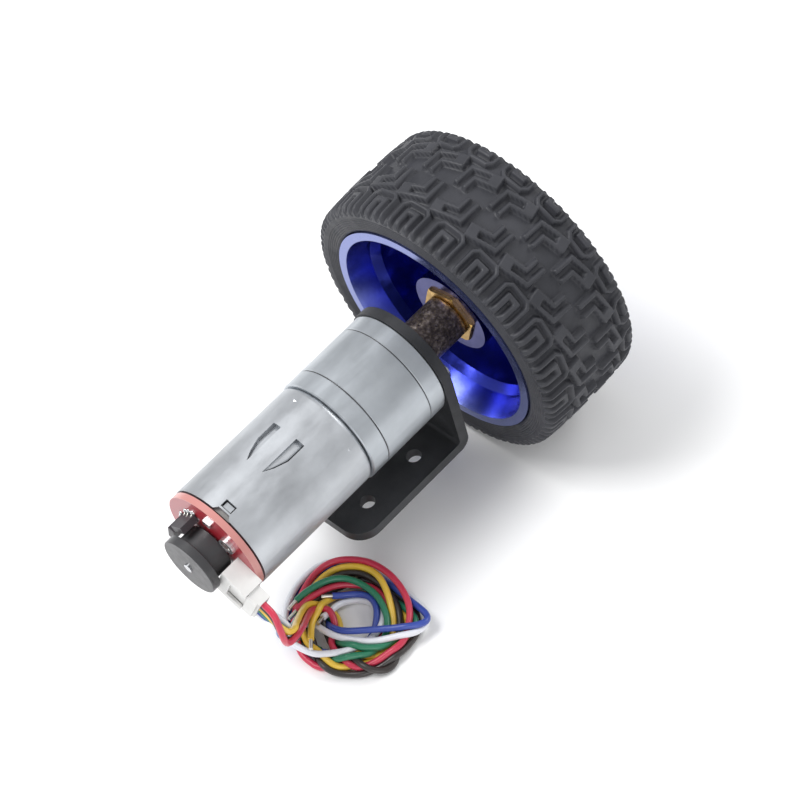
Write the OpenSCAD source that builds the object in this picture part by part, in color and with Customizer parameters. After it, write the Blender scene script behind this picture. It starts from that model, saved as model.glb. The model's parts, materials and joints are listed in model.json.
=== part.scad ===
// Wheel drive unit: a spur gearmotor with a quadrature encoder, an L bracket, a hex coupling
// and a rubber-tyred wheel. Millimetres, +Z up, +Y along the wheel axis towards the wheel.
// The origin is the centre of the four chassis holes, on the underside of the bracket's flange.

/* [Bracket] */
// Height of the wheel axis above the flange's underside
axis_z = 20; // [19:0.5:22]
// Width of the bracket
bracket_w = 25.6; // [25:0.2:28]
// Thickness of the bracket's sheet
sheet_t = 2.4; // [2:0.1:3]
// Length of the flange behind the gearbox's front face
flange_len = 30; // [28:0.5:34]
// Distance between chassis holes, both ways
chassis_pitch = 14; // [13:0.5:15]
// Diameter of a chassis hole
chassis_hole_d = 3.3; // [3:0.1:3.6]

/* [Gearbox] */
// Diameter of the gearbox
gearbox_d = 25; // [25:0.2:27]
// Length of the front plate
front_plate_len = 4.2; // [4:0.1:5]
// Length of the ring between the plates
ring_len = 12.5; // [12.5:0.1:14]
// Length of the rear plate
rear_plate_len = 4.5; // [4.5:0.1:5.5]
// Distance between the bracket screws
front_screw_pitch = 17; // [16.5:0.5:17.5]
// Tooth module of the second, third and fourth gear pairs
gear_module = 0.4; // [0.4:0.4:0.4]
// Distance from the wheel axis to the layshaft
centre_distance = 6.4; // [6.4:0.1:6.4]
// Diameter of the output shaft
shaft_d = 4; // [4:0.1:4]

/* [Motor] */
// Diameter of the motor can
can_d = 24.4; // [24:0.2:24.8]
// Length of the motor can
can_len = 31; // [30:0.5:33]
// Wall of the motor can
can_wall = 1; // [0.8:0.1:1.2]

/* [Encoder] */
// Diameter of the circuit board
board_d = 24.2; // [24:0.2:25]
// Thickness of the circuit board
board_t = 1.5; // [1.4:0.1:1.6]
// Diameter of the magnet drum
magnet_d = 10.6; // [10:0.2:11]
// Diameter of the flange on the magnet drum
magnet_flange_d = 13.5; // [13:0.5:14]
// Direction in which the cable plug leaves the board, in degrees below +X
plug_angle = 28; // [20:1:32]

/* [Wheel] */
// Tread diameter
wheel_d = 65; // [65:0.5:66]
// Width of the wheel
wheel_w = 26; // [26:0.5:27]
// Diameter over the rim's lips
rim_d = 51.6; // [51:0.2:52]
// Distance from the gearbox's front face to the wheel's inner side
wheel_gap = 9.9; // [9.5:0.1:10.5]
// Width across the flats of the hex adapter
hex_af = 12; // [12:0.1:12]
// Turn of the wheel and the hex adapter about the wheel axis at rest, in degrees
wheel_turn = 10; // [0:1:35]
// Number of spokes
spokes = 10; // [8:1:10]

/* [Wires] */
// Diameter of one insulated wire
wire_d = 1.4; // [1.2:0.1:1.4]
// Distance between neighbouring contacts in the connector
contact_pitch = 1.5; // [1.5:0.1:1.5]

/* [Hidden] */
$fn = 96;

// Gap between fixed pieces that fit into each other, and radial gap of a running fit
fixed_gap = 0.02;
run_gap = 0.04;

// Places along the wheel axis
face_y = flange_len / 2;
plate_y = face_y - front_plate_len;
ring_y = plate_y - ring_len;
motor_y = ring_y - rear_plate_len;
can_back_y = motor_y - can_len;
board_y = can_back_y - 0.4;
board_back_y = board_y - board_t;
magnet_y = board_back_y - 0.6;
magnet_step_y = magnet_y - 4.4;
magnet_back_y = magnet_step_y - 2;
barrel_y = face_y + 3;
hex_y = barrel_y + 11.7;
hex_len = 12;
wheel_y = face_y + wheel_gap;
wheel_end_y = wheel_y + wheel_w;
hub_floor_y = hex_y + hex_len + 0.2;
hub_face_y = hub_floor_y + 2.4;

// Radii that several pieces share
gearbox_r = gearbox_d / 2;
ring_inner_r = gearbox_r - 1;
can_r = can_d / 2;
can_inner_r = can_r - can_wall;
bush_r = 3;
boss_r = 3.5;
bracket_r = bracket_w / 2;
lay_pin_r = 1;
motor_shaft_r = 1;
gearbox_screw_r = 1;
gearbox_screw_circle = 10.2;
gearbox_screw_angles = [210, 270, 330];
motor_screw_x = 8;
rim_r = rim_d / 2;

// Gear train: a 12 to 24 pair, then three 10 to 22 pairs, each pair on the same centre distance
pinion_teeth = 10;
wheel_teeth = 22;
motor_teeth = 12;
first_teeth = 24;
first_module = 2 * centre_distance / (motor_teeth + first_teeth);
gear_t = 2.3;
layer_pitch = 2.7;
layer_y = ring_y + 0.5;

// Connector: a side-entry socket on the board, and the plug in it, laid out along the plug's axis
ways = 6;
socket_in = 5.8;
socket_len = 6.6;
socket_w = (ways - 1) * contact_pitch + 3;
socket_h = 4.6;
plug_out = 15.6;
plug_w = socket_w - 1;
plug_h = 2.9;

// Direction of the line through the motor's two terminals, clear of the socket
terminal_angle = 40;

// Vents in the motor can: their front end, length and width
vent_y = motor_y - 9.4;
vent_len = 9.8;
vent_w = 2.15;

// Route of the middle of the six wires from the plug to the coil, and the step from each wire to
// the next at each point
route = [
    [13.8, -41.9, 12.7], [16, -41.9, 11.4], [17.8, -41.6, 8.9], [18, -41, 5.8],
    [16.4, -39.8, 2.8], [13.6, -38.4, 0.2], [10.8, -37, -2.4], [8.2, -35.8, -5],
    [6.4, -34.8, -7.6], [5.8, -34.2, -10], [8, -34, -11], [11, -33.6, -10.8]
];
step = [
    [-0.7, 0, -1.32], [-1, 0.1, -1.15], [-1.3, 0.75, -0.5], [-0.8, 1.35, 0.3],
    [0, 1.6, 0.3], [0.3, 1.5, 0.3], [0.3, 1.5, 0.2], [0.4, 1.5, 0.2],
    [0.5, 1.5, 0.2], [0.3, 1.5, 0.2], [-0.2, 1.5, 0.1], [-0.3, 1.5, 0.1]
];
coil_centre = [14.5, -23];
coil_r = 8.9;
coil_half_w = 4;
coil_h = 5.6;
floor_z = axis_z - wheel_d / 2;

// ---------- shared shapes ----------

// Places children on the wheel axis, with their local Z along +Y and their local Y along -Z
module on_axis(y) {
    translate([0, y, axis_z]) rotate([-90, 0, 0]) children();
}

// A tube along the local Z axis
module tube(r, bore_r, h) {
    difference() {
        cylinder(r = r, h = h);
        translate([0, 0, -1]) cylinder(r = bore_r, h = h + 2);
    }
}

// A disc or drum with a small chamfer at both ends
module chamfered(r, h, c = 0.3) {
    rotate_extrude() polygon([[0, 0], [r - c, 0], [r, c], [r, h - c], [r - c, h], [0, h]]);
}

// A screw along the local Z axis: the head stands above z = 0 and the shank hangs below it
module pan_screw(shank_r, shank_len, head_r, head_h) {
    difference() {
        union() {
            translate([0, 0, -shank_len]) cylinder(r = shank_r, h = shank_len + 0.1);
            rotate_extrude() polygon([
                [0, 0], [head_r, 0], [head_r, head_h * 0.45], [head_r * 0.8, head_h * 0.85],
                [head_r * 0.45, head_h], [0, head_h]
            ]);
        }
        for (turn = [0, 90]) rotate(turn)
            translate([-head_r * 0.6, -head_r * 0.13, head_h * 0.45])
                cube([head_r * 1.2, head_r * 0.26, head_h]);
    }
}

// Point on an involute of base radius base_r, at radius r, turned so that it starts at angle 0
function involute_angle(base_r, r) =
    let (roll = sqrt(max(0, pow(r / base_r, 2) - 1))) roll * 180 / PI - atan(roll);

// Half of the angle that a tooth takes up at radius r
function half_tooth(teeth, pitch_r, base_r, r, slack) =
    90 / teeth - slack / pitch_r * 180 / PI
    + involute_angle(base_r, pitch_r) - involute_angle(base_r, max(r, base_r));

// Outline of a spur gear, with a tooth centred on angle 0 and its flanks thinned by slack
function gear_outline(teeth, m, slack = 0.03, addendum = 0.82, dedendum = 1.2) =
    let (
        pitch_r = teeth * m / 2,
        base_r = pitch_r * cos(20),
        tip_r = pitch_r + addendum * m,
        root_r = pitch_r - dedendum * m,
        levels = [root_r, max(base_r, root_r + 0.05), pitch_r, (pitch_r + tip_r) / 2, tip_r]
    )
    [for (i = [0 : teeth - 1]) each concat(
        [for (r = levels) let (a = i * 360 / teeth - half_tooth(teeth, pitch_r, base_r, r, slack))
            [r * cos(a), r * sin(a)]],
        [for (k = [4 : -1 : 0]) let (
            r = levels[k],
            a = i * 360 / teeth + half_tooth(teeth, pitch_r, base_r, r, slack))
            [r * cos(a), r * sin(a)]]
    )];

// A spur gear turned so that a tooth, or a gap, points along the local angle
module spur(teeth, m, h, angle, gap = false) {
    rotate(angle + (gap ? 180 / teeth : 0)) linear_extrude(h) polygon(gear_outline(teeth, m));
}

// ---------- bracket ----------

module flange_plan() {
    corner_r = 5;
    back_y = -flange_len / 2;
    end_y = face_y + sheet_t;
    translate([-bracket_r, back_y + corner_r]) square([bracket_w, end_y - back_y - corner_r]);
    translate([-bracket_r + corner_r, back_y]) square([bracket_w - 2 * corner_r, corner_r + 1]);
    for (side = [-1, 1]) translate([side * (bracket_r - corner_r), back_y + corner_r])
        circle(r = corner_r);
}

module bracket_profile() {
    bend_r = 2.6;
    inner_r = 0.8;
    top_z = axis_z + bracket_r;
    end_y = face_y + sheet_t;
    difference() {
        union() {
            translate([-flange_len / 2, 0]) square([flange_len + sheet_t - bend_r, sheet_t]);
            translate([face_y, bend_r]) square([sheet_t, top_z - bend_r]);
            translate([end_y - bend_r, 0]) square([bend_r, bend_r]);
            translate([face_y - inner_r, sheet_t]) square([inner_r + 0.1, inner_r]);
        }
        difference() {
            translate([end_y - bend_r, -1]) square([bend_r + 1, bend_r + 1]);
            translate([end_y - bend_r, bend_r]) circle(r = bend_r);
        }
        translate([face_y - inner_r, sheet_t + inner_r]) circle(r = inner_r);
    }
}

module mounting_bracket() {
    color("#26282b") difference() {
        intersection() {
            translate([-bracket_r, 0, 0]) rotate([90, 0, 90])
                linear_extrude(bracket_w) bracket_profile();
            linear_extrude(3 * axis_z) flange_plan();
            union() {
                translate([0, -flange_len, axis_z]) rotate([-90, 0, 0])
                    cylinder(r = bracket_r, h = 2 * flange_len);
                translate([-bracket_r, -flange_len, -1])
                    cube([bracket_w, 2 * flange_len, axis_z + 1]);
            }
        }
        on_axis(face_y - 1) cylinder(r = boss_r + 0.1, h = sheet_t + 2);
        for (side = [-1, 1]) translate([side * front_screw_pitch / 2, 0, 0])
            on_axis(face_y - 1) cylinder(d = 3.2, h = sheet_t + 2);
        for (x = [-1, 1], y = [-1, 1])
            translate([x * chassis_pitch / 2, y * chassis_pitch / 2, -1])
                cylinder(d = chassis_hole_d, h = sheet_t + 2);
    }
}

module bracket_screws() {
    color("#8d8f92") for (side = [-1, 1]) translate([side * front_screw_pitch / 2, 0, 0])
        on_axis(face_y + sheet_t) pan_screw(1.48, sheet_t + 3.2, 2.7, 1.9);
}

// ---------- gearbox ----------

module gearbox_screw_places() {
    for (a = gearbox_screw_angles)
        translate([gearbox_screw_circle * cos(a), 0, gearbox_screw_circle * sin(a)]) children();
}

module gearbox_front_plate() {
    color("#b9bdc1") difference() {
        union() {
            on_axis(plate_y) chamfered(gearbox_r, front_plate_len, 0.25);
            on_axis(face_y - 1) cylinder(r = boss_r, h = sheet_t + 0.7);
        }
        on_axis(plate_y - 1) cylinder(r = bush_r + fixed_gap, h = 20);
        on_axis(plate_y - 1) cylinder(r = bush_r + 0.8, h = 1.6);
        for (side = [-1, 1]) translate([side * front_screw_pitch / 2, 0, 0])
            on_axis(face_y - 3.6) cylinder(r = 1.5, h = 5);
        translate([0, 0, centre_distance])
            on_axis(plate_y - 1) cylinder(r = lay_pin_r + fixed_gap, h = 3);
        gearbox_screw_places() {
            on_axis(plate_y - 1) cylinder(r = gearbox_screw_r + fixed_gap, h = 20);
            on_axis(face_y - 1.4) cylinder(r = 1.95, h = 3);
        }
    }
}

module output_bush() {
    color("#9c7a45") difference() {
        union() {
            on_axis(plate_y + 0.1) cylinder(r = bush_r, h = front_plate_len + sheet_t - 0.3);
            on_axis(plate_y + 0.1) cylinder(r = bush_r + 0.7, h = 0.45);
        }
        on_axis(plate_y - 1) cylinder(d = shaft_d + 2 * run_gap, h = 20);
    }
}

module gearbox_ring() {
    color("#c3c7ca") on_axis(ring_y) rotate_extrude() polygon([
        [ring_inner_r, 0], [gearbox_r - 0.2, 0], [gearbox_r, 0.2], [gearbox_r, ring_len - 0.2],
        [gearbox_r - 0.2, ring_len], [ring_inner_r, ring_len]
    ]);
}

module gearbox_rear_plate() {
    color("#b9bdc1") difference() {
        on_axis(motor_y) chamfered(gearbox_r, rear_plate_len, 0.25);
        on_axis(motor_y - 1) cylinder(r = boss_r + 0.1, h = rear_plate_len + 2);
        translate([0, 0, centre_distance])
            on_axis(ring_y - 2.5) cylinder(r = lay_pin_r + fixed_gap, h = 4);
        gearbox_screw_places()
            on_axis(motor_y + 0.8) cylinder(r = gearbox_screw_r + fixed_gap, h = 10);
        for (side = [-1, 1]) translate([side * motor_screw_x, 0, 0]) {
            on_axis(motor_y - 1) cylinder(r = 1.35, h = 10);
            on_axis(ring_y - 1.9) cylinder(r = 2.4, h = 4);
        }
    }
}

module gearbox_screws() {
    shank_len = front_plate_len + ring_len + rear_plate_len - 2.4;
    color("#9b9da0") gearbox_screw_places()
        on_axis(face_y - 1.35) pan_screw(gearbox_screw_r, shank_len, 1.8, 1.1);
}

module layshaft_pin() {
    color("#d2d5d8") translate([0, 0, centre_distance])
        on_axis(ring_y - 2.4) cylinder(r = lay_pin_r, h = ring_len + 4.2);
}

module gear_washers() {
    color("#d8c48a") {
        translate([0, 0, centre_distance]) on_axis(ring_y + 0.05)
            tube(2, lay_pin_r + run_gap, 0.38);
        translate([0, 0, centre_distance]) on_axis(plate_y - 0.8)
            tube(2, lay_pin_r + run_gap, 0.7);
        on_axis(plate_y - 0.8) tube(3, shaft_d / 2 + run_gap, 0.7);
    }
}

// A compound gear on its bore: the large gear lies at layer n and the pinion reaches through the next
module compound(n, large, large_module, large_angle, small_angle, bore_r) {
    on_axis(layer_y + n * layer_pitch) difference() {
        union() {
            spur(large, large_module, gear_t, large_angle, gap = true);
            spur(pinion_teeth, gear_module, gear_t + 2.85, small_angle);
        }
        translate([0, 0, -1]) cylinder(r = bore_r, h = 10);
    }
}

// Local angles: 90 points down from the layshaft to the wheel axis, and -90 points up to the layshaft
module compound_gear_1() {
    color("#c9b27c") translate([0, 0, centre_distance])
        compound(0, first_teeth, first_module, 90, 90, lay_pin_r + run_gap);
}

module compound_gear_2() {
    color("#c9b27c") compound(1, wheel_teeth, gear_module, -90, -90, lay_pin_r + run_gap);
}

module compound_gear_3() {
    color("#c9b27c") translate([0, 0, centre_distance])
        compound(2, wheel_teeth, gear_module, 90, 90, lay_pin_r + run_gap);
}

// ---------- motor ----------

// Places children on the line through the terminals, with local X along that line
module at_terminals() {
    translate([0, 0, axis_z]) rotate([0, -terminal_angle, 0]) children();
}

module motor_screws() {
    color("#9b9da0") for (side = [-1, 1]) translate([side * motor_screw_x, 0, 0])
        on_axis(ring_y - 1.85) pan_screw(1.2, 4.2, 2.1, 1.3);
}

// One vent, square at its front end and running out to a point at its back, with its width on
// the given side of its straight edge
module vent(angle, side) {
    rotate([0, -angle, 0]) translate([can_inner_r - 1, vent_y, 0]) rotate([0, 90, 0])
        linear_extrude(4) polygon([
            [0, 0], [0, -vent_len], [side * 1.15, -0.78 * vent_len],
            [side * vent_w, -0.47 * vent_len], [side * vent_w, 0]
        ]);
}

module can_cuts() {
    translate([0, 0, axis_z]) {
        for (flip = [0, 180]) {
            vent(flip + 91.5, -1);
            vent(flip + 72, 1);
            rotate([0, -flip - 70.4, 0]) translate([can_inner_r - 1, can_back_y, 0])
                rotate([0, 90, 0]) linear_extrude(4) {
                    translate([-1.35, 1.3]) square([2.7, 1.8]);
                    polygon([[-2.9, -1], [2.9, -1], [1.4, 0.9], [-1.4, 0.9]]);
                }
        }
    }
}

module motor_can() {
    front_r = 1.2;
    color("#c8cccf") difference() {
        union() {
            on_axis(can_back_y) rotate_extrude() union() {
                square([can_r, can_len - front_r]);
                square([can_r - front_r, can_len]);
                translate([can_r - front_r, can_len - front_r]) circle(r = front_r);
            }
            on_axis(motor_y - 0.5) cylinder(r = boss_r, h = 2.3);
        }
        on_axis(can_back_y - 1) cylinder(r = can_inner_r, h = can_len - can_wall + 0.9);
        on_axis(motor_y - 3) cylinder(r = 2.5 + fixed_gap, h = 10);
        for (side = [-1, 1]) translate([side * motor_screw_x, 0, 0])
            on_axis(motor_y - 3) cylinder(r = 1.22, h = 5);
        can_cuts();
    }
}

module front_bush() {
    color("#9c7a45") on_axis(motor_y - 2.6) tube(2.5, motor_shaft_r + run_gap, 4.2);
}

module rear_bush() {
    color("#9c7a45") on_axis(can_back_y + 0.1) tube(2.3, motor_shaft_r + run_gap, 3);
}

module end_cap() {
    color("#e8e6df") difference() {
        union() {
            on_axis(can_back_y + 0.1) cylinder(r = can_inner_r - fixed_gap, h = 1.8);
            on_axis(can_back_y + 0.1) cylinder(r = 3.6, h = 3.4);
        }
        on_axis(can_back_y - 1) cylinder(r = 2.3 + fixed_gap, h = 8);
        for (side = [-1, 1]) at_terminals()
            translate([side * 8 - 0.45, can_back_y - 1, -1.35]) cube([0.9, 6, 2.7]);
    }
}

module magnet_arc(mid, span, r_out, r_in, h) {
    rotate([0, 0, mid - span / 2]) rotate_extrude(angle = span)
        translate([r_in, 0]) square([r_out - r_in, h]);
}

module stator_magnets() {
    color("#3a3a3c") for (mid = [0, 180])
        on_axis(motor_y - 25) magnet_arc(mid, 130, can_inner_r - fixed_gap, 9.3, 20);
}

module magnet_clips() {
    color("#a9adb0") for (mid = [90, 270])
        on_axis(motor_y - 24) magnet_arc(mid, 44, can_inner_r - fixed_gap, 10.4, 17);
}

module brushes() {
    color("#b87333") for (turn = [0, 180]) at_terminals() rotate([0, turn, 0]) {
        translate([2.35, can_back_y + 3.9, -0.8]) cube([0.5, 2.4, 1.6]);
        translate([2.85, can_back_y + 4.6, -0.6]) cube([5.35, 1, 1.2]);
    }
}

module motor_terminals() {
    tab_y = board_back_y - 0.7;
    color("#d9c27a") for (side = [-1, 1]) at_terminals()
        translate([side * 8 - 0.3, tab_y, -1.2]) cube([0.6, can_back_y + 4.6 - tab_y, 2.4]);
}

module motor_shaft() {
    color("#d5d8db") on_axis(magnet_back_y - 0.3)
        cylinder(r = motor_shaft_r, h = layer_y + gear_t - magnet_back_y + 0.3);
}

module armature_core() {
    slot_r = 8.9;
    color("#8a8d90") on_axis(motor_y - 22) linear_extrude(14) difference() {
        circle(r = slot_r);
        circle(r = motor_shaft_r + fixed_gap);
        for (a = [0, 120, 240]) rotate(a) {
            translate([6, -0.6]) square([4, 1.2]);
            intersection() {
                difference() {
                    circle(r = 7.4);
                    circle(r = 3.4);
                }
                for (lean = [-28, 28]) rotate(lean) translate([0, -1.7]) square([9, 3.4]);
            }
        }
    }
}

module windings() {
    color("#b5622a") for (y = [motor_y - 8, motor_y - 24.4])
        on_axis(y + 0.05) rotate_extrude() translate([3.2, 0]) union() {
            square([4, 2.3]);
            translate([4, 1.15]) circle(r = 1.15);
        }
}

module commutator() {
    color("#c98a4b") on_axis(can_back_y + 3.7) tube(2.3, motor_shaft_r + fixed_gap, 2.7);
}

module motor_pinion() {
    color("#d0b25a") on_axis(motor_y + 2) difference() {
        spur(motor_teeth, first_module, layer_y + gear_t - motor_y - 2, -90);
        translate([0, 0, -1]) cylinder(r = motor_shaft_r + fixed_gap, h = 20);
    }
}

// ---------- encoder ----------

// Places children on the plug's axis, with local X along the plug and local Z away from the board
module at_plug() {
    translate([0, board_back_y, axis_z]) rotate([0, plug_angle, 0]) rotate([90, 0, 0]) children();
}

module encoder_board() {
    color("#b3343a") difference() {
        on_axis(board_back_y) cylinder(d = board_d, h = board_t);
        on_axis(board_back_y - 1) cylinder(r = 2.2, h = 4);
        for (side = [-1, 1]) at_terminals()
            translate([side * 8 - 0.4, board_back_y - 1, -1.3]) cube([0.8, 4, 2.6]);
    }
}

module hall_sensors() {
    color("#2b2b2e") for (a = [163, 120]) translate([0, board_back_y, axis_z])
        rotate([0, -a, 0]) translate([6.7, -4.2, -2]) cube([1.6, 4, 4]);
}

module board_parts() {
    color("#cfc8b8") {
        for (a = [80, 195, 255]) translate([0, board_back_y, axis_z])
            rotate([0, -a, 0]) translate([8.2, -0.7, -1]) cube([1.2, 0.69, 2]);
        for (side = [-1, 1]) at_terminals()
            translate([side * 8, board_back_y - 0.9, 0]) rotate([-90, 0, 0])
                tube(1.9, 1.35, 0.89);
    }
}

module header_socket() {
    color("#f1f0ea") at_plug() difference() {
        translate([socket_in, -socket_w / 2, 0.01]) cube([socket_len, socket_w, socket_h]);
        translate([socket_in + 1.4, -socket_w / 2 + 0.45, 0.7])
            cube([socket_len, socket_w - 0.9, socket_h - 1.3]);
        translate([socket_in + 2.6, -socket_w / 2 + 2, socket_h - 1])
            cube([socket_len, socket_w - 4, 2]);
    }
}

module header_pins() {
    color("#d9c27a") at_plug() for (i = [0 : ways - 1])
        translate([socket_in + 1.42, (i - (ways - 1) / 2) * contact_pitch - 0.25, 2.45])
            cube([4.4, 0.5, 0.5]);
}

module cable_plug() {
    color("#f4f3ee") at_plug() difference() {
        union() {
            translate([socket_in + 1.6, -plug_w / 2, 0.95])
                cube([plug_out - socket_in - 1.6, plug_w, plug_h]);
            translate([socket_in + socket_len + 0.2, -plug_w / 2, 0.95])
                cube([2.4, plug_w, plug_h + 0.45]);
        }
        for (i = [0 : ways - 1])
            translate([socket_in, (i - (ways - 1) / 2) * contact_pitch - 0.3, 2.4])
                cube([6.6, 0.6, 0.6]);
    }
}

module magnet_drum() {
    color("#2a2a2c") on_axis(magnet_back_y) difference() {
        union() {
            cylinder(d = magnet_d, h = magnet_y - magnet_back_y);
            chamfered(magnet_flange_d / 2, magnet_step_y - magnet_back_y, 0.15);
        }
        translate([0, 0, -1]) cylinder(r = motor_shaft_r + fixed_gap, h = 20);
    }
}

// ---------- wires ----------

function unit(v) = v / norm(v);
function wire_point(k, i) = route[i] + (k - (ways - 1) / 2) * step[i];
function wire_heading(k, i) =
    unit(wire_point(k, min(i + 1, len(route) - 1)) - wire_point(k, max(i - 1, 0)));

// One wire, an eight-sided tube through its own points
module lead(k) {
    sides = 8;
    last = len(route) - 1;
    aside = [1, 0, 0.2];
    points = [for (i = [0 : last], s = [0 : sides - 1])
        let (
            t = i == 0 ? [cos(plug_angle), 0, -sin(plug_angle)] : wire_heading(k, i),
            u = unit(cross(aside, t)),
            v = cross(t, u)
        )
        wire_point(k, i) + wire_d / 2 * (cos(s * 360 / sides) * u + sin(s * 360 / sides) * v)];
    walls = [for (i = [0 : last - 1], s = [0 : sides - 1]) let (n = (s + 1) % sides) each [
        [i * sides + s, (i + 1) * sides + s, (i + 1) * sides + n],
        [i * sides + s, (i + 1) * sides + n, i * sides + n]
    ]];
    ends = [
        [for (s = [0 : sides - 1]) s],
        [for (s = [sides - 1 : -1 : 0]) last * sides + s]
    ];
    polyhedron(points, concat(walls, ends));
}

module wire_red() { color("#c9384f") lead(0); }
module wire_black() { color("#2b2726") lead(1); }
module wire_yellow() { color("#e3b52a") lead(2); }
module wire_green() { color("#1f7a58") lead(3); }
module wire_blue() { color("#2f4a9c") lead(4); }
module wire_white() { color("#e9e9ee") lead(5); }

// The outer shape of the coiled stretch of all six wires
module wire_coil() {
    corner = 2.2;
    color("#d8a94a") translate([coil_centre[0], coil_centre[1], floor_z]) rotate_extrude() {
        translate([coil_r - coil_half_w, corner])
            square([2 * coil_half_w, coil_h - 2 * corner]);
        translate([coil_r - coil_half_w + corner, 0])
            square([2 * (coil_half_w - corner), coil_h]);
        for (x = [-1, 1], z = [corner, coil_h - corner])
            translate([coil_r + x * (coil_half_w - corner), z]) circle(r = corner);
    }
}

// ---------- wheel ----------

module output_shaft() {
    flat_y = face_y + sheet_t + 0.4;
    color("#d5d8db") difference() {
        union() {
            on_axis(layer_y + 3 * layer_pitch + 0.1) cylinder(d = shaft_d, h = 19);
            on_axis(layer_y + layer_pitch - 0.1) cylinder(r = lay_pin_r, h = 10);
        }
        translate([-shaft_d, flat_y, axis_z - shaft_d / 2 - 1.5]) cube([2 * shaft_d, 30, 2]);
    }
}

module output_gear() {
    color("#c9b27c") on_axis(layer_y + 3 * layer_pitch) difference() {
        spur(wheel_teeth, gear_module, gear_t, -90, gap = true);
        translate([0, 0, 0.1]) cylinder(d = shaft_d + 2 * fixed_gap, h = 10);
        translate([0, 0, -1]) cylinder(r = lay_pin_r + fixed_gap, h = 10);
    }
}

module coupling_barrel() {
    spigot_r = 3.6;
    color("#4a4540") difference() {
        union() {
            on_axis(barrel_y) chamfered(5, hex_y - barrel_y, 0.3);
            on_axis(hex_y - 1) cylinder(r = spigot_r, h = 6);
        }
        on_axis(barrel_y - 1) cylinder(d = shaft_d + 2 * fixed_gap, h = 11);
        for (y = [barrel_y + 3, barrel_y + 7.5])
            translate([0, y, axis_z - 10]) cylinder(r = 1.27, h = 10);
    }
}

module grub_screws() {
    color("#2c2c2e") for (y = [barrel_y + 3, barrel_y + 7.5])
        translate([0, y, axis_z - 2.05]) rotate([180, 0, 0]) difference() {
            cylinder(r = 1.25, h = 2.6);
            translate([0, 0, 1.6]) cylinder(r = 0.75, h = 2, $fn = 6);
        }
}

module hex_adapter() {
    corner_r = hex_af / 2 / cos(30);
    color("#d8a650") difference() {
        intersection() {
            on_axis(hex_y) rotate(-wheel_turn) cylinder(r = corner_r, h = hex_len, $fn = 6);
            on_axis(hex_y) chamfered(corner_r, hex_len, 0.35);
        }
        on_axis(hex_y - 1) cylinder(r = 3.6 + fixed_gap, h = 6.1);
        on_axis(hex_y) cylinder(r = 1.7, h = 30);
    }
}

module rim_section() {
    lip = 2;
    seat_r = rim_r - 2.2;
    wall = 1.3;
    inner_r = rim_r - lip;
    polygon([
        [inner_r, 0], [rim_r, 0], [rim_r, 1.2], [seat_r, 1.8], [seat_r, 5],
        [seat_r - 1.2, 6.2], [seat_r - 1.2, wheel_w - 6.2], [seat_r, wheel_w - 5],
        [seat_r, wheel_w - 1.8], [rim_r, wheel_w - 1.2], [rim_r, wheel_w], [inner_r, wheel_w],
        [inner_r - 0.4, wheel_w - 1.5], [seat_r - wall, wheel_w - 5.5],
        [seat_r - 1.2 - wall, wheel_w - 7], [seat_r - 1.2 - wall, 7.5],
        [seat_r - wall, 5.5], [inner_r - 0.4, 1.5]
    ]);
}

// The dished band that holds the spokes, from the hub to the rim's barrel
module spoke_band() {
    rotate_extrude() polygon([
        [7.5, hub_face_y - wheel_y - 5.5], [15, wheel_w - 8.5], [21.6, wheel_w - 6.6],
        [21.6, wheel_w - 3.4], [15, wheel_w - 4.8], [7.5, hub_face_y - wheel_y + 0.2]
    ]);
}

module spoke_plan() {
    for (i = [0 : spokes - 1]) rotate(i * 360 / spokes)
        polygon([[5, -2], [10, -1.5], [23, -2.6], [23, 2.6], [10, 1.5], [5, 2]]);
    circle(r = 10);
}

module rim() {
    hub_r = 9.4;
    pocket_r = (hex_af / 2 + 0.06) / cos(30);
    color("#1d2f9e") difference() {
        union() {
            on_axis(wheel_y) rotate_extrude() rim_section();
            on_axis(wheel_y) rotate(-wheel_turn) intersection() {
                spoke_band();
                linear_extrude(2 * wheel_w) spoke_plan();
            }
            on_axis(hex_y + 0.7) cylinder(r = hub_r, h = hub_face_y - hex_y - 0.7);
        }
        on_axis(hex_y) rotate(-wheel_turn)
            cylinder(r = pocket_r, h = hub_floor_y - hex_y, $fn = 6);
        on_axis(hex_y) cylinder(r = 2.1, h = 30);
    }
}

module tyre_outside() {
    shoulder_r = wheel_d / 2 - 0.5;
    polygon([
        [rim_r - 2, 1.9], [rim_r + 0.1, 1.3], [rim_r + 0.1, 0.5], [rim_r + 1, 0.2],
        [29, 0], [30.6, 0.15], [31.6, 0.6], [shoulder_r, 1.6],
        [wheel_d / 2 - 0.2, wheel_w * 0.2], [wheel_d / 2, wheel_w * 0.38],
        [wheel_d / 2, wheel_w * 0.62], [wheel_d / 2 - 0.2, wheel_w * 0.8],
        [shoulder_r, wheel_w - 1.6], [31.6, wheel_w - 0.6], [30.6, wheel_w - 0.15],
        [29, wheel_w], [rim_r + 1, wheel_w - 0.2], [rim_r + 0.1, wheel_w - 0.5],
        [rim_r + 0.1, wheel_w - 1.3], [rim_r - 2, wheel_w - 1.9], [rim_r - 2, wheel_w - 4.2],
        [rim_r + 0.2, wheel_w - 3.4], [28.6, wheel_w - 2.4], [29.8, wheel_w - 3.6],
        [30, wheel_w / 2], [29.8, 3.6], [28.6, 2.4], [rim_r + 0.2, 3.4], [rim_r - 2, 4.2]
    ]);
}

module tyre() {
    color("#2f3134") on_axis(wheel_y) rotate_extrude($fn = 180) tyre_outside();
}

module foam_insert() {
    color("#55585c") on_axis(wheel_y) rotate_extrude() polygon([
        [rim_r - 3.1, 6.6], [rim_r + 0.5, 4.4], [29, 4.4], [29.5, 6],
        [29.5, wheel_w - 6], [29, wheel_w - 4.4], [rim_r + 0.5, wheel_w - 4.4],
        [rim_r - 3.1, wheel_w - 6.6]
    ]);
}

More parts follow.
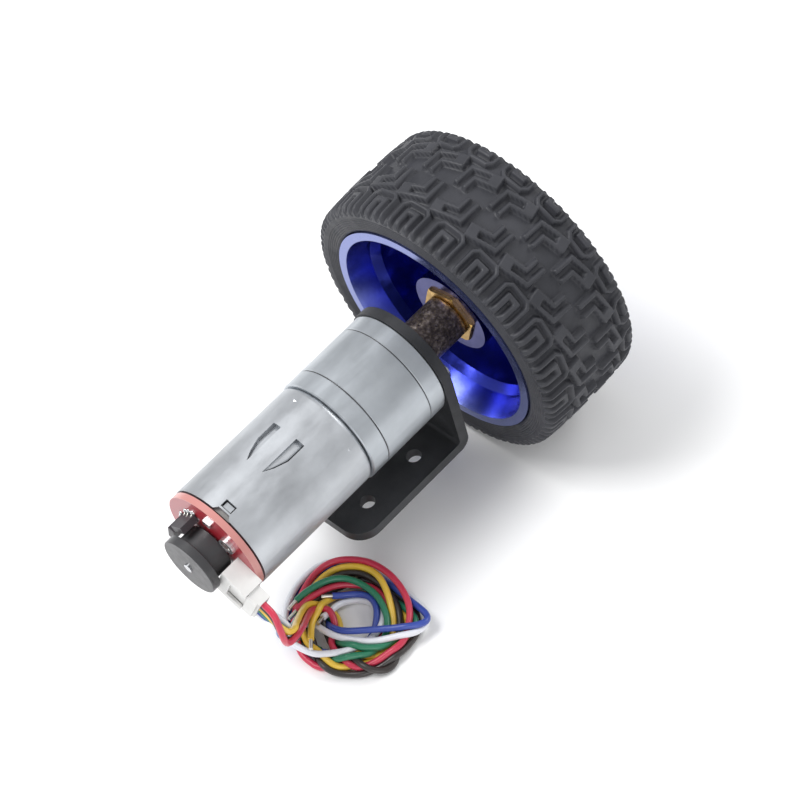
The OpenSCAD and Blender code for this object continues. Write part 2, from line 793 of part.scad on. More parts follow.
module wheel_washer() {
    color("#b5b8bb") on_axis(hub_face_y + 0.01) tube(4, 2.1, 0.6);
}

module wheel_screw() {
    color("#9b9da0") on_axis(hub_face_y + 0.62) pan_screw(1.68, 9.5, 3.2, 2.2);
}

// ---------- assembly ----------

mounting_bracket();
bracket_screws();
gearbox_front_plate();
output_bush();
gearbox_ring();
gearbox_rear_plate();
gearbox_screws();
layshaft_pin();
gear_washers();
motor_screws();
motor_can();
front_bush();
rear_bush();
end_cap();
stator_magnets();
magnet_clips();
brushes();
motor_terminals();
encoder_board();
hall_sensors();
board_parts();
header_socket();
header_pins();
cable_plug();
wire_red();
wire_black();
wire_yellow();
wire_green();
wire_blue();
wire_white();
wire_coil();
output_shaft();
output_gear();
coupling_barrel();
grub_screws();
hex_adapter();
rim();
tyre();
foam_insert();
wheel_washer();
wheel_screw();
motor_shaft();
armature_core();
windings();
commutator();
motor_pinion();
magnet_drum();
compound_gear_1();
compound_gear_2();
compound_gear_3();
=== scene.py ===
"""Looks of the wheel drive unit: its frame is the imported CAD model, and lengths below are in mm."""
import bpy
import json
import math
import numpy as np
from mathutils import Matrix, Vector


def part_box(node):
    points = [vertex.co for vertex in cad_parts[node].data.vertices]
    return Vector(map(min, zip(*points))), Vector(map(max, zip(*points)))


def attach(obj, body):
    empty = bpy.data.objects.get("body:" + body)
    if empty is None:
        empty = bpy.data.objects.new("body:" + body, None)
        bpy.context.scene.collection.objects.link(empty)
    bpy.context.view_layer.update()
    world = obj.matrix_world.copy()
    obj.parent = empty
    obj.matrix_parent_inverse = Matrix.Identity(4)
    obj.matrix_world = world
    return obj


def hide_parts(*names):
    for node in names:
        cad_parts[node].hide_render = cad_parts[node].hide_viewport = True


MM = 0.001

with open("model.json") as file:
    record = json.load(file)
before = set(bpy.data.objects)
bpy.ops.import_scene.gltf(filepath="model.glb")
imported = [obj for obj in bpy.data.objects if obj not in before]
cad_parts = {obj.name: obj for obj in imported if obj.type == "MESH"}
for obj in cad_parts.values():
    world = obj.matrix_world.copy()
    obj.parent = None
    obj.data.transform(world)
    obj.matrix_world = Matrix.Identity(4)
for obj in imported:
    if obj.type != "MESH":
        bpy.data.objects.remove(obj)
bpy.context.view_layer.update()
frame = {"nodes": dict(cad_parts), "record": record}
nodes = frame["nodes"]


def box_mm(node):
    """Lowest and highest corner of a CAD node, in mm."""
    low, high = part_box(node)
    return np.array(low) / MM, np.array(high) / MM


# ---------- places taken from the frame ----------

tyre_low, tyre_high = box_mm("tyre")
AXIS_Z = (tyre_low[2] + tyre_high[2]) / 2
TREAD_R = (tyre_high[0] - tyre_low[0]) / 2
WHEEL_Y = tyre_low[1]
WHEEL_W = tyre_high[1] - tyre_low[1]
RIM_R = (box_mm("rim")[1][0] - box_mm("rim")[0][0]) / 2
FLOOR_Z = tyre_low[2]
CAN_R = (box_mm("motor_can")[1][0] - box_mm("motor_can")[0][0]) / 2
CAN_BACK_Y = box_mm("motor_can")[0][1]
CAN_FRONT_Y = box_mm("gearbox_rear_plate")[0][1]
BOARD_R = (box_mm("encoder_board")[1][0] - box_mm("encoder_board")[0][0]) / 2
BOARD_BACK_Y = box_mm("encoder_board")[0][1]


# ---------- camera, floor and light ----------

def place_camera():
    """The camera stands where the object shows the same sides as in its reference view."""
    aim = Vector((5.334, 8.988, 18.152)) * MM
    distance = 601.49 * MM
    azimuth, elevation, roll = (math.radians(a) for a in (-32.669, 51.672, 17.692))
    back = Vector((
        math.cos(elevation) * math.cos(azimuth),
        math.cos(elevation) * math.sin(azimuth),
        math.sin(elevation),
    ))
    level = back.cross(Vector((0, 0, -1))).normalized()
    up = back.cross(level) * math.cos(roll) + level * math.sin(roll)
    right = up.cross(back)
    camera = bpy.data.objects.new("camera", bpy.data.cameras.new("camera"))
    camera.data.lens = 134.65
    camera.data.sensor_width = 36
    camera.data.clip_start, camera.data.clip_end = 0.05, 20
    camera.matrix_world = Matrix((
        (right[0], up[0], back[0], aim[0] + distance * back[0]),
        (right[1], up[1], back[1], aim[1] + distance * back[1]),
        (right[2], up[2], back[2], aim[2] + distance * back[2]),
        (0, 0, 0, 1),
    ))
    bpy.context.scene.collection.objects.link(camera)
    bpy.context.scene.camera = camera


def area_light(name, place, target, size, power, color=(1, 1, 1)):
    light = bpy.data.lights.new(name, "AREA")
    light.shape = "RECTANGLE"
    light.size, light.size_y = size
    light.energy = power
    light.color = color
    lamp = bpy.data.objects.new(name, light)
    lamp.location = place
    lamp.rotation_mode = "QUATERNION"
    lamp.rotation_quaternion = (Vector(target) - Vector(place)).to_track_quat("-Z", "Y")
    bpy.context.scene.collection.objects.link(lamp)


def set_stage():
    """A wide pale floor, a pale surround and three soft lights."""
    size = 4.0
    mesh = bpy.data.meshes.new("floor")
    corners = [(-size, -size), (size, -size), (size, size), (-size, size)]
    mesh.from_pydata([(x, y, FLOOR_Z * MM) for x, y in corners], [], [(0, 1, 2, 3)])
    floor = bpy.data.objects.new("floor", mesh)
    bpy.context.scene.collection.objects.link(floor)
    floor.data.materials.append(Look("floor_paper", (0.93, 0.93, 0.93), 0.9).material)
    world = bpy.data.worlds.new("surround")
    world.use_nodes = True
    world.node_tree.nodes["Background"].inputs["Color"].default_value = (0.97, 0.98, 1, 1)
    world.node_tree.nodes["Background"].inputs["Strength"].default_value = 0.58
    bpy.context.scene.world = world
    area_light("key", (-0.35, -0.25, 0.75), (0, 0, 0.02), (0.5, 0.5), 7.0)
    area_light("fill", (0.7, -0.5, 0.4), (0, 0, 0.02), (0.6, 0.4), 1.8)
    area_light("rear", (0.2, 0.75, 0.6), (0, 0.02, 0.03), (0.7, 0.25), 3.2)
    view = bpy.context.scene.view_settings
    view.view_transform = "Standard"
    view.exposure = 0.0


# ---------- materials ----------

class Look:
    """A material's node tree, with short calls for the nodes that the looks share."""

    def __init__(self, name, color, roughness, metallic=0.0, coat=0.0, specular=0.5):
        self.material = bpy.data.materials.new(name)
        self.material.use_nodes = True
        self.tree = self.material.node_tree
        self.shader = self.tree.nodes["Principled BSDF"]
        inputs = self.shader.inputs
        inputs["Base Color"].default_value = (*color, 1)
        inputs["Roughness"].default_value = roughness
        inputs["Metallic"].default_value = metallic
        inputs["Coat Weight"].default_value = coat
        inputs["Coat Roughness"].default_value = 0.12
        inputs["Specular IOR Level"].default_value = specular

    def node(self, kind, **settings):
        made = self.tree.nodes.new(kind)
        for key, value in settings.items():
            setattr(made, key, value)
        return made

    def link(self, source, target):
        self.tree.links.new(source, target)

    def place(self, stretch=(1, 1, 1)):
        """Object coordinates in mm, stretched per axis."""
        coordinates = self.node("ShaderNodeTexCoord")
        mapping = self.node("ShaderNodeMapping")
        mapping.inputs["Scale"].default_value = [s / MM for s in stretch]
        self.link(coordinates.outputs["Object"], mapping.inputs["Vector"])
        return mapping.outputs["Vector"]

    def noise(self, size, detail=3.0, stretch=(1, 1, 1), rough=0.55):
        """Noise with features of about the given size in mm."""
        made = self.node("ShaderNodeTexNoise")
        made.inputs["Scale"].default_value = 1 / size
        made.inputs["Detail"].default_value = detail
        made.inputs["Roughness"].default_value = rough
        self.link(self.place(stretch), made.inputs["Vector"])
        return made.outputs["Fac"]

    def axis_distance(self, height, reach):
        """Distance from the wheel axis as a share of a reach in mm."""
        flat = self.node("ShaderNodeVectorMath", operation="MULTIPLY_ADD")
        flat.inputs[1].default_value = (1, 0, 1)
        flat.inputs[2].default_value = (0, 0, -height)
        self.link(self.place(), flat.inputs[0])
        length = self.node("ShaderNodeVectorMath", operation="LENGTH")
        self.link(flat.outputs["Vector"], length.inputs[0])
        share = self.node("ShaderNodeMath", operation="DIVIDE")
        share.inputs[1].default_value = reach
        self.link(length.outputs["Value"], share.inputs[0])
        return share.outputs["Value"]

    def ramp(self, factor, stops):
        """Colours, or greys, along a factor: stops is a list of (position, colour)."""
        made = self.node("ShaderNodeValToRGB")
        elements = made.color_ramp.elements
        while len(elements) < len(stops):
            elements.new(0.5)
        for element, (position, color) in zip(elements, stops):
            element.position = position
            if not hasattr(color, "__len__"):
                color = (color, color, color)
            element.color = (*color, 1)
        self.link(factor, made.inputs["Fac"])
        return made.outputs["Color"]

    def color(self, factor, stops):
        self.link(self.ramp(factor, stops), self.shader.inputs["Base Color"])

    def roughness(self, factor, low, high):
        self.link(self.ramp(factor, [(0.3, low), (0.7, high)]), self.shader.inputs["Roughness"])

    def bump(self, height, depth, strength=1.0):
        """Relief from a height factor, depth in mm."""
        made = self.node("ShaderNodeBump")
        made.inputs["Strength"].default_value = strength
        made.inputs["Distance"].default_value = depth * MM
        self.link(height, made.inputs["Height"])
        self.link(made.outputs["Normal"], self.shader.inputs["Normal"])


def shade(color, factor):
    return tuple(c * factor for c in color)


def coated_steel():
    look = Look("bracket_coat", (0.02, 0.021, 0.023), 0.5)
    look.color(look.noise(9), [(0.35, (0.014, 0.015, 0.017)), (0.65, (0.030, 0.031, 0.034))])
    look.roughness(look.noise(3), 0.42, 0.58)
    look.bump(look.noise(0.22, 4), 0.05)
    return look


def turned_metal(name, color, roughness, streak, blotch=14, metallic=0.9):
    """Bare metal with faint streaks along the unit's axis and soft blotches."""
    look = Look(name, color, roughness, metallic=metallic)
    look.color(look.noise(blotch, 4), [(0.3, shade(color, 0.80)), (0.7, shade(color, 1.08))])
    look.roughness(look.noise(2.2, 4, (1, streak, 1)), roughness * 0.8, roughness * 1.25)
    look.bump(look.noise(0.5, 3, (1, streak, 1)), 0.012)
    return look


def plastic(name, color, roughness=0.4, coat=0.0, soft=0.0):
    look = Look(name, color, roughness, coat=coat)
    look.color(look.noise(5, 3), [(0.3, shade(color, 0.93)), (0.7, shade(color, 1.04))])
    look.roughness(look.noise(1.5, 3), roughness * 0.85, roughness * 1.15)
    look.bump(look.noise(0.4, 3), 0.01)
    if soft:
        look.shader.inputs["Subsurface Weight"].default_value = soft
        look.shader.inputs["Subsurface Radius"].default_value = (1, 1, 1)
        look.shader.inputs["Subsurface Scale"].default_value = 1.2 * MM
    return look


def blue_chrome_painted_light():
    """Blue metallic rim, coloured by distance from the axis: a pale lip that is a painted reflection
    of the bright surround, and a darker step, deep blue inside and hub that are painted shade.
    """
    look = Look("rim_blue", (0.02, 0.03, 0.40), 0.16, metallic=0.9, coat=0.12)
    # Painted light by distance from the axis: painted reflection on the pale lip, painted shade on
    # the step, inside and hub.
    look.color(look.axis_distance(AXIS_Z, 30), [
        (0.30, (0.010, 0.014, 0.16)), (0.66, (0.012, 0.020, 0.30)), (0.74, (0.030, 0.045, 0.40)),
        (0.785, (0.08, 0.10, 0.36)), (0.80, (0.18, 0.215, 0.48)),
    ])
    look.roughness(look.noise(4, 3), 0.14, 0.26)
    look.bump(look.noise(3.5, 2), 0.03)
    return look


def rubber():
    look = Look("tyre_rubber", (0.030, 0.031, 0.037), 0.55, specular=0.4)
    look.color(look.noise(7, 5), [(0.3, (0.026, 0.027, 0.033)), (0.7, (0.040, 0.041, 0.049))])
    look.roughness(look.noise(2.5, 4), 0.46, 0.62)
    look.bump(look.noise(0.35, 4), 0.03)
    return look


def circuit_board():
    """Red lacquer on the faces, and the sawn, paler laminate on the edge."""
    look = Look("board_red", (0.42, 0.022, 0.035), 0.34, coat=0.35)
    look.color(look.axis_distance(AXIS_Z, BOARD_R), [
        (0.60, (0.40, 0.020, 0.034)), (0.985, (0.34, 0.018, 0.030)), (0.997, (0.52, 0.22, 0.20)),
    ])
    look.bump(look.noise(0.5, 3), 0.015)
    return look


def dark_metal_painted_glints():
    """Dark brownish metal with a granular, mottled surface, whose palest grains are painted glints.
    """
    look = Look("barrel_dark", (0.14, 0.115, 0.095), 0.36, metallic=0.85)
    # Partly the metal's own uneven dark tone, and partly painted glints in the palest stop of this
    # ramp.
    look.color(look.noise(0.9, 5, rough=0.7), [
        (0.32, (0.055, 0.045, 0.038)), (0.5, (0.15, 0.12, 0.10)), (0.68, (0.42, 0.36, 0.30)),
    ])
    look.roughness(look.noise(0.7, 4), 0.25, 0.5)
    look.bump(look.noise(0.5, 4), 0.05)
    return look


WIRE_COLORS = {
    "red": (0.56, 0.028, 0.07), "black": (0.030, 0.024, 0.022), "yellow": (0.80, 0.52, 0.055),
    "green": (0.02, 0.20, 0.105), "blue": (0.035, 0.07, 0.36), "white": (0.78, 0.79, 0.84),
}


def make_looks():
    made = {
        "bracket_coat": coated_steel(),
        "steel_screw": turned_metal("steel_screw", (0.45, 0.46, 0.47), 0.3, 0.5, 6),
        "zinc_gearbox": turned_metal("zinc_gearbox", (0.50, 0.53, 0.56), 0.38, 0.12),
        "steel_can": turned_metal("steel_can", (0.54, 0.56, 0.585), 0.44, 0.3),
        "bronze_bush": turned_metal("bronze_bush", (0.42, 0.26, 0.11), 0.35, 0.5, 5),
        "gear_brass": turned_metal("gear_brass", (0.66, 0.47, 0.20), 0.3, 0.5, 5),
        "bright_steel": turned_metal("bright_steel", (0.62, 0.63, 0.65), 0.2, 0.4, 5),
        "cap_nylon": plastic("cap_nylon", (0.24, 0.235, 0.225), 0.5),
        "ferrite": plastic("ferrite", (0.04, 0.04, 0.042), 0.6),
        "copper": turned_metal("copper", (0.72, 0.32, 0.16), 0.3, 0.5, 4),
        "lamination": turned_metal("lamination", (0.35, 0.36, 0.38), 0.4, 3, 4),
        "board_red": circuit_board(),
        "sensor_black": plastic("sensor_black", (0.035, 0.030, 0.036), 0.42),
        "solder": turned_metal("solder", (0.72, 0.73, 0.74), 0.22, 1, 2),
        "connector_white": plastic("connector_white", (0.66, 0.655, 0.64), 0.38, soft=0.15),
        "contact_tin": turned_metal("contact_tin", (0.74, 0.72, 0.66), 0.3, 0.5, 3),
        "wire_mixed": plastic("wire_mixed", (0.6, 0.5, 0.2)),
        "barrel_dark": dark_metal_painted_glints(),
        "hex_brass": turned_metal("hex_brass", (0.62, 0.39, 0.12), 0.3, 0.5, 6, 1.0),
        "rim_blue": blue_chrome_painted_light(),
        "tyre_rubber": rubber(),
        "foam": plastic("foam", (0.10, 0.10, 0.11), 0.8),
        "magnet_black": plastic("magnet_black", (0.045, 0.045, 0.048), 0.36),
    }
    for name, color in WIRE_COLORS.items():
        made["wire_" + name] = plastic("wire_" + name, color, 0.34, coat=0.25)
    return {slot: look.material for slot, look in made.items()}


# ---------- mesh helpers ----------

def add_object(name, data, slot, body):
    made = bpy.data.objects.new(name, data)
    bpy.context.scene.collection.objects.link(made)
    data.materials.append(looks[slot])
    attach(made, body)
    return made


def mesh_mm(name, points, faces, smooth=True):
    mesh = bpy.data.meshes.new(name)
    mesh.from_pydata((np.asarray(points, float) * MM).tolist(), [], faces)
    mesh.validate()
    if smooth:
        mesh.shade_smooth()
    return mesh


def smooth_line(points, spacing):
    """A Catmull-Rom line through points, in steps of about the given spacing."""
    points = np.asarray(points, float)
    padded = np.vstack([2 * points[0] - points[1], points, 2 * points[-1] - points[-2]])
    fine = []
    for i in range(len(points) - 1):
        a, b, c, d = padded[i:i + 4]
        t = np.linspace(0, 1, 24, endpoint=False)[:, None]
        fine.append(0.5 * (2 * b + (c - a) * t + (2 * a - 5 * b + 4 * c - d) * t ** 2
                           + (3 * b - a - 3 * c + d) * t ** 3))
    fine = np.vstack(fine + [points[-1:]])
    along = np.concatenate([[0], np.cumsum(np.linalg.norm(np.diff(fine, axis=0), axis=1))])
    count = max(2, int(round(along[-1] / spacing)) + 1)
    marks = np.linspace(0, along[-1], count)
    return np.stack([np.interp(marks, along, fine[:, k]) for k in range(3)], 1)


def tube_curve(name, points, radius, slot, body, sides=5):
    """An open spline with a round section along points in mm."""
    curve = bpy.data.curves.new(name, "CURVE")
    curve.dimensions = "3D"
    spline = curve.splines.new("POLY")
    spline.points.add(len(points) - 1)
    for point, place in zip(spline.points, np.asarray(points) * MM):
        point.co = (*place, 1)
    curve.bevel_depth = radius * MM
    curve.bevel_resolution = sides
    curve.use_fill_caps = True
    spline.use_smooth = True
    return add_object(name, curve, slot, body)


def turned_shape(profile, base, axis, sides=20):
    """Points and faces of a closed shape turned about an axis: the profile is (radius, height)."""
    axis = Vector(axis).normalized()
    side = axis.orthogonal().normalized()
    other = axis.cross(side)
    points, faces = [], []
    for r, h in profile:
        for i in range(sides):
            a = 2 * math.pi * i / sides
            points.append(Vector(base) + axis * h + side * r * math.cos(a) + other * r * math.sin(a))
    for ring in range(len(profile) - 1):
        for i in range(sides):
            n = (i + 1) % sides
            faces.append((ring * sides + i, ring * sides + n,
                          (ring + 1) * sides + n, (ring + 1) * sides + i))
    faces.append(tuple(reversed(range(sides))))
    faces.append(tuple((len(profile) - 1) * sides + i for i in range(sides)))
    return [tuple(point) for point in points], faces


def gather(parts):
    """One set of points and faces from several."""
    points, faces = [], []
    for part_points, part_faces in parts:
        faces += [tuple(i + len(points) for i in face) for face in part_faces]
        points += part_points
    return points, faces


def around(angle, radius, y):
    """A place at an angle round the wheel axis, in degrees from +X towards +Z."""
    a = math.radians(angle)
    return (radius * math.cos(a), y, AXIS_Z + radius * math.sin(a))


# ---------- wires ----------

WIRE_D = 1.4
# The CAD model's route for the middle of the six wires, and the step from each wire to the next.
# Only the first RIBBON_POINTS of it are followed here.
ROUTE = np.array([
    [13.8, -41.9, 12.7], [16, -41.9, 11.4], [17.8, -41.6, 8.9], [18, -41, 5.8],
    [16.4, -39.8, 2.8], [13.6, -38.4, 0.2], [10.8, -37, -2.4], [8.2, -35.8, -5],
    [6.4, -34.8, -7.6], [5.8, -34.2, -10], [8, -34, -11], [11, -33.6, -10.8],
])
STEP = np.array([
    [-0.7, 0, -1.32], [-1, 0.1, -1.15], [-1.3, 0.75, -0.5], [-0.8, 1.35, 0.3],
    [0, 1.6, 0.3], [0.3, 1.5, 0.3], [0.3, 1.5, 0.2], [0.4, 1.5, 0.2],
    [0.5, 1.5, 0.2], [0.3, 1.5, 0.2], [-0.2, 1.5, 0.1], [-0.3, 1.5, 0.1],
])
RIBBON_POINTS = 4
# After those the wires run as a loose bundle, down to the floor and in under the coil
BUNDLE = np.array([
    [16.8, -39.2, 2.6], [14.4, -36.8, -1], [11.6, -34.4, -4.4], [9.2, -31.8, -7.4],
    [7.8, -29.2, -9.8], [9.2, -27.2, -10.8], [12.6, -27.8, -10.8],
])
# Each wire's place in the bundle, across it towards the wheel and across it upwards
BUNDLE_PLACE = [(1.5, 0.75), (0, 0.75), (1.5, -0.75), (0, -0.75), (-1.5, -0.75), (-1.5, 0.75)]
COIL_CENTRE = np.array([14.5, -23])
COIL_START, COIL_STEP = 292.5, 45
# Distance between the points of a settling wire, and how much of each wire is held at the plug
SPACING = 0.8
HELD_LEN = 5
# Share of each bend that is taken out in a round, by the reach in points that it is measured over
BEND_PULL = ((1, 0.4), (3, 0.2))
GUIDE_PULL = 0.05
FALL = 0.012
# Each wire's place in the coil every 45 degrees: its distance from the centre, and its height
# above the floor. The last pair is its end, at the angle given after them.
COIL = {
    "red": (
        [12, 15, 13.4, 10.5, 10.3, 12.6, 11.9, 13.5, 14.8, 9.8, 9, 7.2, 6.7, 6.7, 8.2, 12.9],
        [1.2, .8, 3.6, 4.2, 4.2, 3.4, 2.4, 1.4, .8, .8, .8, 1.6, 1.8, 2.4, 3.4, 4.4], 237),
    "black": (
        [10.4, 17, 10.4, 7.9, 8.2, 9.5, 9.4, 11, 14.5, 15, 15, 8.8, 6.8, 6.5, 8.2, 12.4],
        [1.2, .8, 1.2, 2.4, 3, 2.6, 1.6, 1, .8, .8, 1.6, 1.6, 1.4, 2, 3.4, 4.2], 239),
    "yellow": (
        [8.6, 14.6, 9.2, 8, 9.3, 10.7, 10.3, 11.6, 13.2, 14.2, 13.2, 6, 4.5, 5, 6.5, 9, 13.2],
        [1.2, .8, 1.5, 3.4, 3.6, 3, 2.2, 1.4, .8, .8, 1.2, 1, .8, 1.5, 3, 4.2, 4.5], 276),
    "green": (
        [9.5, 12.5, 15.5, 7, 7, 9.5, 11, 12, 12.8, 12.5, 8.5, 5.2, 5.6, 7.5, 9.9, 12.8],
        [2, 2, 2.2, .8, .8, .8, .8, .8, .8, 2, 2.4, 2.8, 3.6, 4.6, 5, 5], 226),
    "blue": (
        [7.6, 7.6, 18.2, 9, 9.5, 13, 14.2, 14.6, 12, 9, 6.4, 5.6, 4, 3.8, 5.2, 6.1],
        [4.2, 4.2, 3.6, 1.5, .8, .8, .8, .8, 1, 1, 2.4, 2.4, 1.8, 2.2, 3, 3.4], 215),
    "white": (
        [8.8, 10.5, 17.5, 10.5, 11, 13.7, 14.1, 15, 12, 9.2, 7.2, 5.5, 3.8, 3.2, 4, 9],
        [3.2, 3, 2.6, 1, 1, 2, 2.4, 2.4, 2, 2, 2.2, 1, .8, .8, 2.5, 4.2], 249),
}


def first_wire_line(k, name, spacing):
    """A wire's line through the listed points, from the plug to its end, before it settles."""
    lead = ROUTE[:RIBBON_POINTS] + (k - 2.5) * STEP[:RIBBON_POINTS] * [[1], [1], [1], [0.5]]
    travel = np.gradient(BUNDLE, axis=0)
    travel /= np.linalg.norm(travel, axis=1)[:, None]
    aside = np.cross(np.cross(travel, (0, 1, 0.4)), travel)
    aside /= np.linalg.norm(aside, axis=1)[:, None]
    over = np.cross(travel, aside)
    bundle = BUNDLE + BUNDLE_PLACE[k][0] * aside + BUNDLE_PLACE[k][1] * over
    radii, heights, end_angle = COIL[name]
    turn = 720 if len(radii) > 14 else 360
    angles = [COIL_START + i * COIL_STEP for i in range(len(radii) - 1)]
    angles.append(end_angle + turn)
    turns = [
        [COIL_CENTRE[0] + r * math.cos(math.radians(a)),
         COIL_CENTRE[1] + r * math.sin(math.radians(a)), FLOOR_Z + h]
        for r, h, a in zip(radii, heights, angles)
    ]
    return smooth_line(np.vstack([lead, bundle, turns]), spacing)


def near_pairs(points, wire, reach):
    """Pairs of points that could touch, apart from neighbours on one wire."""
    apart = np.linalg.norm(points[:, None] - points[None], axis=2)
    index = np.arange(len(points))
    far = (wire[:, None] != wire[None]) | (np.abs(index[:, None] - index[None]) > 8)
    i, j = np.nonzero((apart < reach) & far & (index[:, None] < index[None]))
    return i, j


def settle_wires(lines, spacing):
    """Lets the wires settle on the floor and push each other apart, then smooths them.

    The smoothing lets wires sink into each other a little where they cross.
    """
    wire = np.concatenate([np.full(len(line), k) for k, line in enumerate(lines)])
    points = np.vstack(lines)
    guide = points.copy()
    joined = wire[1:] == wire[:-1]
    first = np.concatenate([[0], np.cumsum([len(line) for line in lines])[:-1]])
    held = np.zeros(len(points), bool)
    for start in first:
        held[start:start + int(HELD_LEN / spacing)] = True
    rounds = 360
    for step in range(rounds):
        if step % 6 == 0:
            i, j = near_pairs(points, wire, WIRE_D + 1.2)
        before = points.copy()
        late = step > rounds * 0.7
        for reach, pull in BEND_PULL:
            bent = np.zeros_like(points)
            middle = (points[2 * reach:] + points[:-2 * reach]) / 2
            bent[reach:-reach] = middle - points[reach:-reach]
            whole = np.zeros(len(points), bool)
            whole[reach:-reach] = wire[2 * reach:] == wire[:-2 * reach]
            points[whole] += pull * (0.4 if late else 1) * bent[whole]
        points += GUIDE_PULL * (guide - points)
        points[:, 2] -= FALL
        for _ in range(3):
            span = np.diff(points, axis=0)
            size = np.linalg.norm(span, axis=1)
            rest = np.bincount(wire[1:][joined], size[joined]) / np.bincount(wire[1:][joined])
            move = np.where(joined, 0.3 * (size - rest[wire[1:]]) / np.maximum(size, 1e-6), 0)
            points[:-1] += move[:, None] * span
            points[1:] -= move[:, None] * span
            gap = points[j] - points[i]
            size = np.linalg.norm(gap, axis=1)
            push = np.clip(WIRE_D * 1.01 - size, 0, None) / np.maximum(size, 1e-6) * 0.5
            np.add.at(points, i, -push[:, None] * gap * 0.8)
            np.add.at(points, j, push[:, None] * gap * 0.8)
            points[:, 2] = np.maximum(points[:, 2], FLOOR_Z + WIRE_D / 2)
            points[held] = before[held]
    for _ in range(4):
        middle = (points[2:] + points[:-2]) / 2
        inner = np.concatenate([[False], (wire[2:] == wire[:-2]) & ~held[1:-1], [False]])
        points[inner] += 0.5 * (middle[inner[1:-1]] - points[inner])
    return [points[wire == k] for k in range(len(lines))]


def make_wires():
    """Six cords with bare ends, in place of the CAD wires and the outer shape of their coil."""
    lines = [first_wire_line(k, name, SPACING) for k, name in enumerate(COIL)]
    for k, (name, line) in enumerate(zip(COIL, settle_wires(lines, SPACING))):
        bare = 3
        cover = tube_curve("lead_" + name, smooth_line(line[:-bare], 0.6), WIRE_D / 2,
                           "wire_" + name, "drive_unit")
        tip = tube_curve("tip_" + name, line[-bare - 2:], 0.42, "contact_tin", "drive_unit", 3)
        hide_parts("wire_" + name, *(["wire_coil"] if k == 0 else []))


# ---------- tyre ----------

PITCHES = 22
COLUMNS = 40
TREAD_DEPTH = 1.35
PITCH_MM = 2 * math.pi * TREAD_R / PITCHES
PATTERN_START = math.radians(11.4)
PATTERN_MIDDLE = (8.04, 14.4)
# Middle lines of a tread hook and of the groove in it, as (place round the tyre, place across it)
HOOK = [(-0.4, 20.4), (5.75, 19.1), (5.9, 14.9)]
HOOK_GROOVE = [(2.2, 19.9), (5.75, 19.0), (5.9, 13.9)]


def strip_depth(u, y, line, half):
    """How far each place lies outside a bent strip with square ends, below zero inside it."""
    best = np.full(u.shape, 1e9)
    parts = list(zip(line[:-1], line[1:]))
    for part, ((u0, y0), (u1, y1)) in enumerate(parts):
        long = math.hypot(u1 - u0, y1 - y0)
        ahead = half * 0.8 if part < len(parts) - 1 else 0
        behind = half * 0.8 if part > 0 else 0
        for lap in (-1, 0, 1):
            pu, py = u - u0 - lap * PITCH_MM, y - y0
            along = (pu * (u1 - u0) + py * (y1 - y0)) / long
            across = np.abs(pu * (y1 - y0) - py * (u1 - u0)) / long
            ends = np.maximum(-behind - along, along - long - ahead)
            best = np.minimum(best, np.maximum(across - half, ends))
    return best


def rise(distance, edge, blur=0.4):
    """1 inside an edge and 0 outside it, with a sloped wall between."""
    t = np.clip((edge - distance) / blur + 0.5, 0, 1)
    return t * t * (3 - 2 * t)


def turned(line):
    """A line turned half a turn about the middle of the pattern."""
    return [(2 * PATTERN_MIDDLE[0] - u, 2 * PATTERN_MIDDLE[1] - y) for u, y in line]


def comb_height(u, y, inner):
    """A shoulder block with one open groove inside another, and a slot in its middle."""
    middle = 7.6 if not inner else 2 * PATTERN_MIDDLE[0] - 7.6 + 0.5
    edge = 21.7
    if inner:
        y = 2 * PATTERN_MIDDLE[1] - y
    du = np.abs((u - middle + PITCH_MM / 2) % PITCH_MM - PITCH_MM / 2)
    dy = y - edge
    body = np.maximum(np.maximum(du - 3.75, -dy), (du - dy) * 0.7 - 1.75)
    block = rise(body, 0.0)
    ring = np.abs(np.maximum(np.maximum(du - 2.35, 1.45 - dy), (du - dy) * 0.7 - 0.25))
    slot = np.maximum(du - 0.55, 3.2 - dy)
    return block * (1 - 0.9 * rise(ring, 0.5)) * (1 - 0.9 * rise(slot, 0.0))


def tread_height(u, y):
    """0 on the tread's floor and 1 on top of its blocks, for places in mm."""
    height = np.zeros(u.shape)
    for body, groove in ((HOOK, HOOK_GROOVE), (turned(HOOK), turned(HOOK_GROOVE))):
        block = rise(strip_depth(u, y, body, 1.72), 0)
        block = block * (1 - 0.9 * rise(strip_depth(u, y, groove, 0.62), 0))
        height = np.maximum(height, block)
    for inner in (False, True):
        height = np.maximum(height, comb_height(u, y, inner))
    return height


def tyre_profile():
    """Points (y, r, share of the tread's relief) round the tyre's section, starting inside."""
    ribs = 6
    rib_r = np.linspace(RIM_R + 0.5, TREAD_R - 3.2, ribs * 6 + 1)
    wave = 0.16 * (1 - np.cos(np.linspace(0, ribs * 2 * math.pi, len(rib_r)))) / 2
    side = [(0.12 + 0.25 * abs(t - 0.5) ** 2 - w + 0.14, r, 0)
            for r, w, t in zip(rib_r, wave, np.linspace(0, 1, len(rib_r)))]
    shoulder = [(0.05, TREAD_R - 2.6, 0), (0.1, TREAD_R - 1.9, 0.3), (0.3, TREAD_R - 1.3, 0.8),
                (0.7, TREAD_R - 0.8, 1), (1.2, TREAD_R - 0.58, 1)]
    half = [(0.9, RIM_R + 0.15, 0), (0.35, RIM_R + 0.25, 0)] + side + shoulder
    rows = 88
    crown = []
    for y in np.linspace(1.5, WHEEL_W - 1.5, rows):
        share = abs(y - WHEEL_W / 2) / (WHEEL_W / 2 - 1.5)
        crown.append((y, TREAD_R - 0.5 * share ** 2.2, 1))
    inside = [(WHEEL_W - 3.6, 28.6, 0), (WHEEL_W - 4.6, 29.8, 0), (4.6, 29.8, 0), (3.6, 28.6, 0)]
    inside = [(WHEEL_W - 1.9, RIM_R + 0.15, 0)] + inside + [(1.9, RIM_R + 0.15, 0)]
    far = [(WHEEL_W - y, r, share) for y, r, share in reversed(half)]
    return half + crown + far + inside


